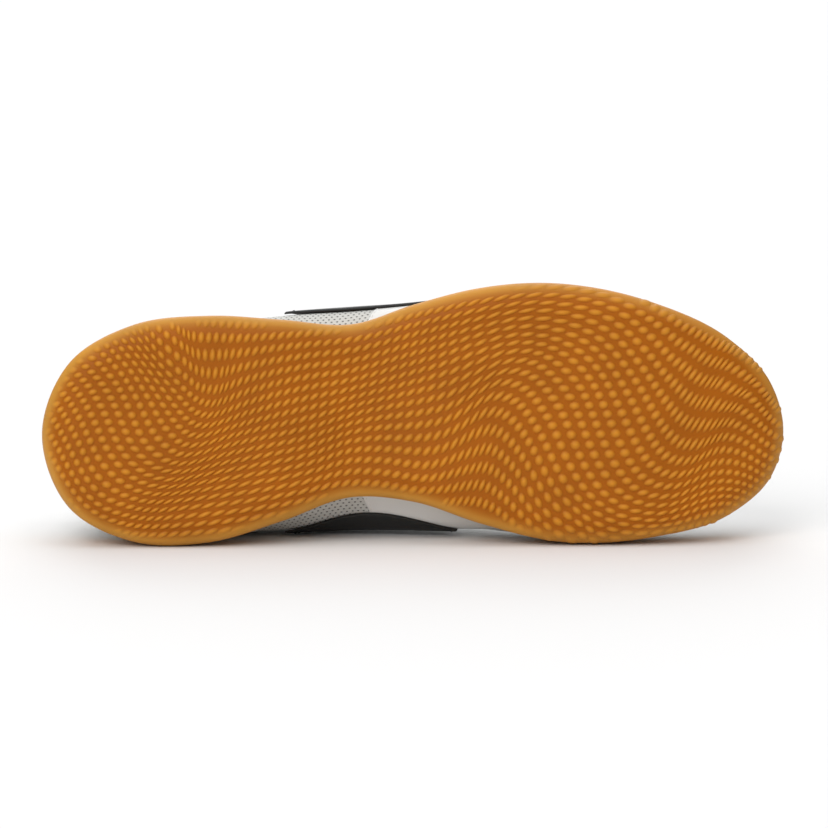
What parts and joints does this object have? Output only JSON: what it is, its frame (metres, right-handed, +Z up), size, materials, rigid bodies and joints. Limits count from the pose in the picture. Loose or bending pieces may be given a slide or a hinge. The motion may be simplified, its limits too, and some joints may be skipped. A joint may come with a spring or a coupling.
{
  "type": "indoor soccer shoe",
  "caption": "Low indoor soccer shoe with a gum rubber cup sole, a light upper, dark side panels and laces, lying on its inner side.",
  "frame": {"origin": "middle of the lying shoe's bounding box, on the floor", "axes": "+X from heel to toe, -Y out of the sole, +Z up, with the shoe lying on its inner side"},
  "size_m": [0.292, 0.0928, 0.1016],
  "materials": {
    "gum_rubber": "translucent amber gum rubber, satin",
    "white_synthetic": "smooth white synthetic over a light grey knit",
    "eyestay_synthetic": "smooth white synthetic",
    "black_panel": "matte black synthetic",
    "liner_foam": "grey knitted cover over foam",
    "tongue_mesh": "padded white mesh",
    "lace_weave": "flat woven lace"
  },
  "bodies": {
    "root": {"outsole": "gum_rubber", "upper": "white_synthetic", "insole": "liner_foam", "tongue": "tongue_mesh", "eyestay": "eyestay_synthetic", "panel_inner": "black_panel", "panel_outer": "black_panel", "laces": "lace_weave"}
  },
  "joints": []
}
